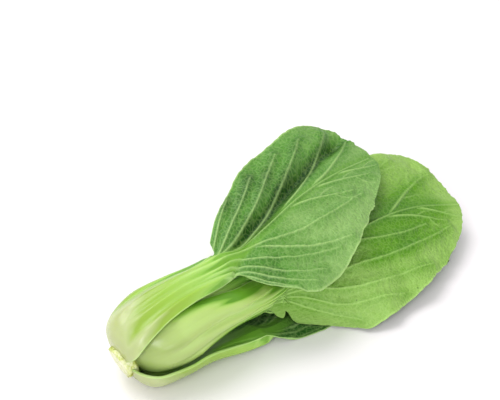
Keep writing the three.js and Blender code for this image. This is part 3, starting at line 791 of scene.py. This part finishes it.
# %% Where the head's own millimetres lie in the frame
ROOT_PROFILE = [
    [-3.6, 0], [-3.6, 8.8], [-3.0, 9.8], [-1.6, 10.2], [1.5, 10.2], [3.0, 10.0],
    [3.6, 8.6], [6.6, 7.9], [7.0, 6.0], [9.8, 5.3], [10.2, 3.4], [12.5, 2.3], [14.5, 0]]
ROOT_TILT = math.atan(ROOT_PITCH)
plain_root = np.array([
    [a * math.cos(ROOT_TILT) - r * math.cos(w) * math.sin(ROOT_TILT), r * math.sin(w)]
    for a, r in ROOT_PROFILE for w in np.arange(28) * math.tau / 28])
root_low = np.array(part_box("root_crown")[0])[:2] / MM
head_shift = np.array([*(root_low - plain_root.min(0)), 0])
print("shift of the head, mm:", head_shift.round(2))


# %% Mesh from loops
def link(obj):
    bpy.context.scene.collection.objects.link(obj)
    return obj


def tube_faces(rows, around):
    """Four-sided faces between the loops of a tube."""
    i, j = np.meshgrid(np.arange(rows - 1), np.arange(around), indexing="ij")
    k = (j + 1) % around
    tube = [i * around + j, i * around + k, (i + 1) * around + k, (i + 1) * around + j]
    return np.stack(tube, -1).reshape(-1, 4)


def leaf_ends(rows, around):
    """Faces that close the first and the last loop of a leaf, from its back to its face."""
    back = (around - 2 * len(RIM)) // 2
    far = around - len(RIM) - 1
    rims = [list(range(back - 1, back + len(RIM) + 1)), list(range(far, around)) + [0]]
    caps = rims + [[n, n + 1, far - n - 1, far - n] for n in range(back - 1)]
    last = [[n + (rows - 1) * around for n in cap] for cap in caps]
    return [cap[::-1] for cap in caps] + last


def loop_normals(loops):
    """Outward normals of a tube of loops."""
    along = np.gradient(loops, axis=0)
    around = np.roll(loops, -1, 1) - np.roll(loops, 1, 1)
    return unit(np.cross(around, along))


def mesh_piece(name, loops, faces, measures, skin):
    """A smooth object from loops in the head's millimetres, with measures on its points."""
    mesh = bpy.data.meshes.new(name)
    points = (loops + head_shift).reshape(-1, 3) * MM
    mesh.from_pydata(points.tolist(), [], faces)
    mesh.polygons.foreach_set("use_smooth", [True] * len(mesh.polygons))
    for key, value in measures.items():
        layer = mesh.attributes.new(key, "FLOAT", "POINT")
        layer.data.foreach_set("value", value.reshape(-1).astype(np.float32))
    mesh.materials.append(skin)
    return link(bpy.data.objects.new(name, mesh))


# %% [markdown]
# ## Colour
# Every colour is written as the hex value a paint shop would use and turned to the
# linear numbers that light needs. One function adds a node to a material, with its
# settings and with whatever feeds it.

# %% Colour and nodes
def linear(hex_colour):
    """Linear red, green, blue and alpha of an sRGB hex colour."""
    parts = [int(hex_colour[n:n + 2], 16) / 255 for n in (1, 3, 5)]
    return [c / 12.92 if c <= 0.04045 else ((c + 0.055) / 1.055) ** 2.4 for c in parts] + [1.0]


def add(tree, kind, settings=None, out=0, **feeds):
    """Adds a node: settings are its own choices, feeds are values or sockets by input.

    Gives back the socket out, by number or name, or nothing where the node has none."""
    node = tree.nodes.new("ShaderNode" + kind)
    for key, value in (settings or {}).items():
        if key != "stops":
            setattr(node, key, value)
            continue
        ramp = node.color_ramp.elements
        while len(ramp) < len(value):
            ramp.new(1)
        for stop, (place, colour) in zip(ramp, value):
            stop.position = place
            stop.color = linear(colour) if isinstance(colour, str) else [colour] * 3 + [1]
    for key, value in feeds.items():
        socket = node.inputs[int(key[2:]) if key.startswith("in") else key.replace("_", " ")]
        if isinstance(value, bpy.types.NodeSocket):
            tree.links.new(value, socket)
        else:
            socket.default_value = value
    return node.outputs[out] if len(node.outputs) else None


def new_material(name):
    """A material with only its output, and its tree."""
    made = bpy.data.materials.new(name)
    made.use_nodes = True
    made.node_tree.nodes.clear()
    return made, made.node_tree


# %% Settings that many nodes share
TIMES = {"operation": "MULTIPLY"}
TIMES_PLUS = {"operation": "MULTIPLY_ADD"}
SOFT = {"interpolation_type": "SMOOTHSTEP"}
COLOURS = {"data_type": "RGBA"}
MIXED = 2  # the number of the output where a mix of colours comes out

# %% [markdown]
# ## The skin of a bok choy leaf
# The stalk is crisp, wet tissue under a clear waxy skin: nearly white at the foot,
# where no light reached it, and greener towards the neck, with paler strands and a
# greener margin. It is glossy, and light soaks a few millimetres into it. The
# blade is green tissue between two matte waxy skins: its back is paler and greyer
# than its face, its veins stay pale, and fine vein nets dimple it every 2 to 4 mm.
# One way would be to paint each leaf. Here the mesh carries measures, such as the
# distance to a vein, and the skin turns them into colour, so that it fits any leaf.
# Some of that colour is painted shade: darker beside the veins, in a crease and on
# flanks that lay in shadow, with a painted highlight on a bulb and a painted sheen
# on a margin.

# %% What the mesh tells the skin
def read_measures(tree):
    """The measures stored on the mesh, the flat leaf in millimetres, nearness to the neck."""
    names = ("along_mm", "across_mm", "vein", "blade", "green", "margin", "upper", "shade")
    m = {name: add(tree, "Attribute", {"attribute_name": name}, "Fac") for name in names}
    m["flat"] = add(tree, "CombineXYZ", X=m["along_mm"], Y=m["across_mm"])
    m["near_neck"] = add(tree, "MapRange", SOFT, Value=m["green"], From_Min=0.35, From_Max=0.95)
    return m


# %% Colour of the stalk
def stalk_colour(tree, m, stops):
    """Pale at the foot, greener towards the neck, at the margin and in the channels."""
    # strands: streaks 3 mm apart and twenty times as long
    stretched = add(tree, "VectorMath", TIMES, in0=m["flat"], in1=(0.016, 0.33, 0))
    streak = add(tree, "TexNoise", Vector=stretched, Scale=1.0, Detail=3.0, Roughness=0.55)
    streak = add(tree, "MapRange", Value=streak, From_Min=0.3, From_Max=0.7,
                 To_Min=-0.1, To_Max=0.1)
    streak = add(tree, "Math", TIMES, in0=streak, in1=m["green"])
    margin = add(tree, "MapRange", SOFT, Value=m["margin"], From_Min=0.72, To_Max=0.22)
    channel = add(tree, "MapRange", Value=m["vein"], From_Max=0.7, To_Min=0.12, To_Max=-0.2)
    edging = add(tree, "Math", TIMES_PLUS, in0=margin, in1=0.75, in2=channel)
    ripe = add(tree, "Math", TIMES_PLUS, in0=m["near_neck"], in1=edging, in2=m["green"])
    ripe = add(tree, "Math", TIMES_PLUS, in0=margin, in1=0.12, in2=ripe)
    # the shade measure: the stalk's own darker bands, and painted shade on a flank that lay in
    # shadow
    for more in (streak, m["shade"]):
        ripe = add(tree, "Math", {"operation": "ADD"}, in0=ripe, in1=more)
    ripe = add(tree, "Math", TIMES_PLUS, in0=m["upper"], in1=0.6, in2=ripe)
    return add(tree, "ValToRGB", {"stops": stops}, Fac=ripe)


# %% Colour of the blade
def blade_colours(tree, m, back, face, vein):
    """Colour of the blade, colour of its face alone, and the net of its finest veins."""
    # clouds 25 mm across, with a grain of about a millimetre
    cloud = add(tree, "TexNoise", Vector=m["flat"], Scale=0.04, Detail=3.0, Roughness=0.6)
    cloud = add(tree, "MapRange", Value=cloud, From_Min=0.35, From_Max=0.68, To_Max=0.16)
    grain = add(tree, "TexNoise", Vector=m["flat"], Scale=0.8, Detail=2.0, Roughness=0.6)
    cloud = add(tree, "Math", TIMES_PLUS, in0=grain, in1=0.5, in2=cloud)
    cloud = add(tree, "Math", {"operation": "SUBTRACT"}, in0=cloud, in1=0.25)
    # the shade measure darkens the green: random tone, with painted shade beside the veins, in a
    # crease and over a far half
    cloud = add(tree, "Math", {"operation": "ADD", "use_clamp": True}, in0=cloud, in1=m["shade"])
    on_back = add(tree, "ValToRGB", {"stops": list(zip((0.0, 0.55, 1.0), back))}, Fac=cloud)
    on_face = add(tree, "ValToRGB", {"stops": list(zip((0.0, 1.0), face))}, Fac=cloud)
    green = add(tree, "Mix", COLOURS, MIXED, in0=m["upper"], in6=on_back, in7=on_face)
    # the net of fine veins: bent cells 2 to 4 mm across
    warp = add(tree, "TexNoise", None, 1, Vector=m["flat"], Scale=0.25, Detail=1.0)
    bent = add(tree, "VectorMath", TIMES_PLUS, in0=warp, in1=(1.6, 1.6, 0), in2=m["flat"])
    net = add(tree, "TexVoronoi", {"feature": "DISTANCE_TO_EDGE"}, Vector=bent, Scale=0.36)
    line = add(tree, "MapRange", SOFT, Value=net, From_Max=0.16, To_Min=1.0, To_Max=0.0)
    line = add(tree, "Math", TIMES, in0=line, in1=0.15)
    green = add(tree, "Mix", COLOURS, MIXED, in0=line, in6=green, in7=linear(vein))
    return green, on_face, net


# %% Veins, pale margin and grit over both
def drawn_over(tree, m, colour, vein):
    """The colour with its veins, paler on the back, its pale margin, and specks of grit."""
    most = add(tree, "MapRange", Value=m["blade"], To_Min=0.5, To_Max=0.72)
    most = add(tree, "Math", TIMES_PLUS, in0=m["upper"], in1=-0.35, in2=most)
    pale = add(tree, "Math", TIMES, in0=m["vein"], in1=most)
    edge = add(tree, "MapRange", SOFT, Value=m["margin"], From_Min=0.965, To_Max=0.55)
    pale = add(tree, "Math", {"operation": "MAXIMUM"}, in0=pale, in1=edge)
    colour = add(tree, "Mix", COLOURS, MIXED, in0=pale, in6=colour, in7=linear(vein))
    # a few dark specks under a millimetre across, where grit lay on the blade
    speck = add(tree, "TexNoise", Vector=m["flat"], Scale=0.55, Detail=0.0)
    speck = add(tree, "MapRange", Value=speck, From_Min=0.83, From_Max=0.87, To_Max=0.6)
    speck = add(tree, "Math", TIMES, in0=speck, in1=m["blade"])
    return add(tree, "Mix", COLOURS, MIXED, in0=speck, in6=colour, in7=linear("#2f4a1d"))


# %% The whole skin
def leaf_skin(name, stalk, back, face, vein):
    """Skin of one ring of leaves: the stops of its stalk, and blade and vein colours."""
    skin, tree = new_material(name)
    m = read_measures(tree)
    green, on_face, net = blade_colours(tree, m, back, face, vein)
    # inside the stalk, the face's deeper green sets in before the neck
    inside = add(tree, "Math", TIMES, in0=m["near_neck"], in1=m["upper"])
    inside = add(tree, "Math", TIMES, in0=inside, in1=0.4)
    pale = stalk_colour(tree, m, stalk)
    pale = add(tree, "Mix", COLOURS, MIXED, in0=inside, in6=pale, in7=on_face)
    colour = add(tree, "Mix", COLOURS, MIXED, in0=m["blade"], in6=pale, in7=green)
    colour = drawn_over(tree, m, colour, vein)

    # gloss: a waxy sheen on the stalk, duller on the blade and dullest on its face
    rough = add(tree, "MapRange", Value=m["blade"], To_Min=0.25, To_Max=0.43)
    rough = add(tree, "Math", TIMES_PLUS, in0=m["upper"], in1=0.3, in2=rough)
    # relief: the net's cells stand up like pebbles, with a crinkle of 2 mm and less on them
    pebble = add(tree, "MapRange", SOFT, Value=net, From_Max=0.3, To_Max=0.4)
    crinkle = add(tree, "TexNoise", Vector=m["flat"], Scale=0.45, Detail=4.0, Roughness=0.6)
    pebble = add(tree, "Math", {"operation": "ADD"}, in0=pebble, in1=crinkle)
    relief = add(tree, "Math", TIMES, in0=m["blade"], in1=pebble)
    bump = add(tree, "Bump", Height=relief, Strength=0.55, Distance=0.0008)
    soaked = add(tree, "MapRange", Value=m["blade"], To_Min=0.3, To_Max=0.08)
    shader = add(tree, "BsdfPrincipled", Base_Color=colour, Roughness=rough, Normal=bump,
                 IOR=1.42, Specular_IOR_Level=0.45, Subsurface_Weight=soaked,
                 Subsurface_Radius=(0.004, 0.005, 0.0015), Subsurface_Scale=1.0)
    add(tree, "OutputMaterial", Surface=shader)
    return skin


# %% Skins of the four rings
SKINS = {
    "outer": leaf_skin(
        "outer_leaf_skin",
        # painted contact shade: the first stop, darker than the next at the very foot; partly
        # painted highlight: the palest stop at 0.17
        [(0.0, "#a5ae70"), (0.17, "#afbb83"), (0.34, "#8eab42"), (0.55, "#90b442"),
         (0.78, "#9bc257"), (0.93, "#8ebf4c"), (1.0, "#74a834")],
        # painted shade: the darkest back green, reached only in the crease; the face greens are the
        # face's own deep green, darkened further as painted shade
        ["#7fa85a", "#4d842a", "#1a450c"], ["#1f5e0b", "#123706"], "#b2d485"),
    "middle": leaf_skin(
        "middle_leaf_skin",
        [(0.0, "#8ea25a"), (0.17, "#a1b56c"), (0.38, "#acc574"), (0.6, "#acc76e"),
         (0.76, "#a4c764"), (0.93, "#7fb03c"), (1.0, "#5f9526")],
        ["#8bb455", "#548c0a", "#3a7208"], ["#3f8420", "#2f6b18"], "#aed678"),
    "inner": leaf_skin(
        "inner_leaf_skin",
        # partly the inner stalks' own green, partly painted shade: the deep green of the last stops
        # near the neck
        [(0.0, "#e9efcf"), (0.3, "#cfe0a0"), (0.6, "#a4cc62"), (0.85, "#6aa338"), (1.0, "#4a8a26")],
        ["#92bf58", "#76a838", "#5a8e28"], ["#558f30", "#457d26"], "#b8d98a"),
    "heart": leaf_skin(
        "heart_leaf_skin",
        [(0.0, "#eff3dc"), (0.4, "#e3edc2"), (0.8, "#cfe29c"), (1.0, "#b3d274")],
        ["#b0d070", "#a3c763", "#8cb850"], ["#8cba50", "#7dae44"], "#d0e4a4"),
}
print("skins:", list(SKINS))

# %% [markdown]
# ## Growing the ten leaves
# The two leaves that turn their backs to the light get rows 0.8 mm apart, so that
# their veins stand out as real ridges. The leaves below and behind them are made
# with wider rows. Each stalk stands for its own solid and each blade for its own.

# %% Leaves
FINE = {"outer_leaf_top": (0.8, 150), "middle_leaf_front": (0.8, 150),
        "outer_leaf_bottom": (1.1, 90), "outer_leaf_back": (1.2, 80), "middle_leaf_back": (1.2, 80)}
PLAIN = (1.5, 56)

for name, leaf in LEAVES.items():
    loops, measures, split = grow_leaf(name, *FINE.get(name, PLAIN))
    normals = loop_normals(loops)
    for part, rows in (("stalk", slice(0, split + 1)), ("blade", slice(split, None))):
        size = loops[rows].shape[:2]
        piece = mesh_piece(
            f"{name}_{part}_fine", loops[rows], tube_faces(*size).tolist() + leaf_ends(*size),
            {key: value[rows] for key, value in measures.items()}, SKINS[leaf["ring"]])
        piece.data.normals_split_custom_set_from_vertices(normals[rows].reshape(-1, 3).tolist())
        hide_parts(f"{name}_{part}")
        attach(piece, "root")
    print(name, "rows and points round:", loops.shape[:2])

# %% [markdown]
# ## The cut root
# The root was cut straight across with a knife. Its cut face is dull, nearly white
# and a little uneven, and its side keeps a ragged collar of yellowish scars where
# older leaves were pulled off. A cylinder could be roughened for it, but the root
# tapers to a point between the leaves' feet. So a profile is turned, as on a lathe,
# and made ragged only near the cut, where it shows.

# %% Shape of the root
def cut_root(around=96, seed=7):
    """Loops from the middle of the cut face to the growing point, and where scars are."""
    profile = np.array([
        [-3.6, 0.05], [-3.62, 3], [-3.55, 6], [-3.6, 8.2], [-3.3, 9.4], [-2.6, 10.0], [-1.4, 10.3],
        [0, 10.0], [1.5, 10.2], [3.0, 10.0], [3.6, 8.6], [6.6, 7.9], [7.0, 6.0], [9.8, 5.3],
        [10.2, 3.4], [12.5, 2.3], [14.4, 0.05]])
    place = np.linspace(0, len(profile) - 1, 80)
    along, radius = (np.interp(place, range(len(profile)), column) for column in profile.T)
    turn = np.arange(around) * math.tau / around
    side = smooth(place, 2, 4)[:, None]
    face = 1 - side
    place, along, radius = place[:, None], along[:, None], radius[:, None]
    high, wide = np.cos(turn), np.sin(turn)
    ragged = swell(high * 10, wide * 10 + along, 5, seed)
    fine = swell(high * radius, wide * radius + along, 1.6, seed + 1)
    out = radius * (1 + side * (0.05 * ragged + 0.03 * fine) * (along < 3))
    lift = along + face * (0.25 * ragged * (radius / 9) + 0.12 * fine)
    lift = lift - 0.7 * np.exp(-((place - 4.6) / 0.8) ** 2) * np.maximum(ragged, 0)
    start, ahead = (v[0] for v in axis_at(np.array([0.0])))
    up = outward(np.array([90.0]), ahead[None, :])[0]
    over = np.cross(up, ahead)
    loops = (start + ahead * lift[..., None] + up * (high * out)[..., None]
             + over * (wide * out)[..., None])
    return loops, np.repeat(smooth(place, 2.6, 4.6), around)


# %% Flesh of the root
def root_skin():
    """Dull cut flesh: cream, browner at the scars of its collar."""
    skin, tree = new_material("cut_root_flesh")
    spot = add(tree, "TexCoord", None, "Object")
    collar = add(tree, "Attribute", {"attribute_name": "collar"}, "Fac")
    # mottles 2 to 3 mm across, and patches 9 mm across
    mottle = add(tree, "TexNoise", Vector=spot, Scale=420.0, Detail=4.0, Roughness=0.65)
    patch = add(tree, "TexNoise", Vector=spot, Scale=110.0, Detail=2.0)
    blend = add(tree, "Math", TIMES, in0=mottle, in1=0.5)
    blend = add(tree, "Math", TIMES_PLUS, in0=patch, in1=0.5, in2=blend)
    cut, scars = (add(tree, "ValToRGB", {"stops": stops}, Fac=blend) for stops in (
        [(0.32, "#b9bf7c"), (0.42, "#d3d6a4"), (0.52, "#dfe0c0"), (0.66, "#e6e6d4")],
        [(0.36, "#8a6f3a"), (0.42, "#9dab3e"), (0.50, "#c3cb7e"), (0.60, "#dcdfb4")]))
    colour = add(tree, "Mix", COLOURS, MIXED, in0=collar, in6=cut, in7=scars)
    bump = add(tree, "Bump", Height=mottle, Strength=0.5, Distance=0.0005)
    shader = add(tree, "BsdfPrincipled", Base_Color=colour, Roughness=0.7, Normal=bump,
                 Subsurface_Weight=0.15, Subsurface_Radius=(0.003, 0.003, 0.002),
                 Subsurface_Scale=1.0)
    add(tree, "OutputMaterial", Surface=shader)
    return skin


# %% Root in its place
root_loops, collar = cut_root()
rows, around = root_loops.shape[:2]
ends = [list(range(around)), list(range((rows - 1) * around, rows * around))[::-1]]
outwards = tube_faces(rows, around)[:, [0, 3, 2, 1]].tolist()
root = mesh_piece("root_crown_fine", root_loops, outwards + ends, {"collar": collar}, root_skin())
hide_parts("root_crown")
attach(root, "root")
print("root points:", len(root.data.vertices))

# %% [markdown]
# ## Table, light and camera
# The head lies on a plain, nearly white table. A broad soft light hangs over it a
# little to the back, a smaller one stands in front on the left, and a window behind on
# the left puts the gleam on the top leaf's bulb. A weak light fills from the front, and
# the pale room does the rest.

# %% Table
TABLE_HALF = 3.0
TABLE_DROP = 0.0003  # a hair under the head, so that table and leaves share no plane
corners = [(x * TABLE_HALF, y * TABLE_HALF, 0) for x, y in ((-1, -1), (1, -1), (1, 1), (-1, 1))]
table_mesh = bpy.data.meshes.new("table_top")
table_mesh.from_pydata(corners, [], [(0, 1, 2, 3)])
table_top = link(bpy.data.objects.new("table_top", table_mesh))
table_top.location.z = -TABLE_DROP
# melamine laminate, pressed flat: one even white with a dull sheen and no grain
white, tree = new_material("white_laminate")
shader = add(tree, "BsdfPrincipled", Base_Color=linear("#f3eff1"), Roughness=0.5)
add(tree, "OutputMaterial", Surface=shader)
table_mesh.materials.append(white)
print("table top, metres across:", 2 * TABLE_HALF)

# %% Light
def soft_light(name, place, aim, size, power):
    """A square area light at a place, turned to what it lights."""
    lamp = bpy.data.lights.new(name, "AREA")
    lamp.shape, lamp.size, lamp.energy = "SQUARE", size, power
    obj = link(bpy.data.objects.new(name, lamp))
    obj.location = place
    obj.rotation_euler = (Vector(aim) - Vector(place)).to_track_quat("-Z", "Y").to_euler()
    return obj


soft_light("top_light", (-0.25, 0.45, 1.25), (0, 0, 0.02), 0.8, 9.4)
soft_light("left_light", (-0.95, -0.75, 0.8), (0, 0, 0.02), 0.5, 7.5)
soft_light("window_light", (-0.72, 0.98, 0.74), (-0.12, 0, 0.04), 0.5, 3.8)
soft_light("front_light", (0.1, -1.5, 0.4), (0, 0, 0.03), 0.9, 4.5)
room = bpy.data.worlds.new("pale_room")
room.use_nodes = True
room.node_tree.nodes.clear()
glow = add(room.node_tree, "Background", Color=linear("#ffffff"), Strength=0.65)
add(room.node_tree, "OutputWorld", Surface=glow)
bpy.context.scene.world = room
bpy.context.scene.view_settings.view_transform = "Standard"
print("lamps:", [lamp.name for lamp in bpy.data.lights], "in", room.name)

# %% Camera: a long lens, from the front left and above
LENS, SENSOR = 115.7, 36
LOOK_FROM, LOOK_TO = [-335.6, -602.3, 608.1], [87.3, 1.6, 91.9]
camera_data = bpy.data.cameras.new("camera")
camera_data.lens, camera_data.sensor_width = LENS, SENSOR
camera = link(bpy.data.objects.new("camera", camera_data))
camera_from, camera_to = ((np.array(spot) + head_shift) * MM for spot in (LOOK_FROM, LOOK_TO))
camera.location = camera_from
camera.rotation_euler = Vector(camera_to - camera_from).to_track_quat("-Z", "Y").to_euler()
bpy.context.scene.camera = camera
print("camera at, m:", camera_from.round(3), "looking at", camera_to.round(3))
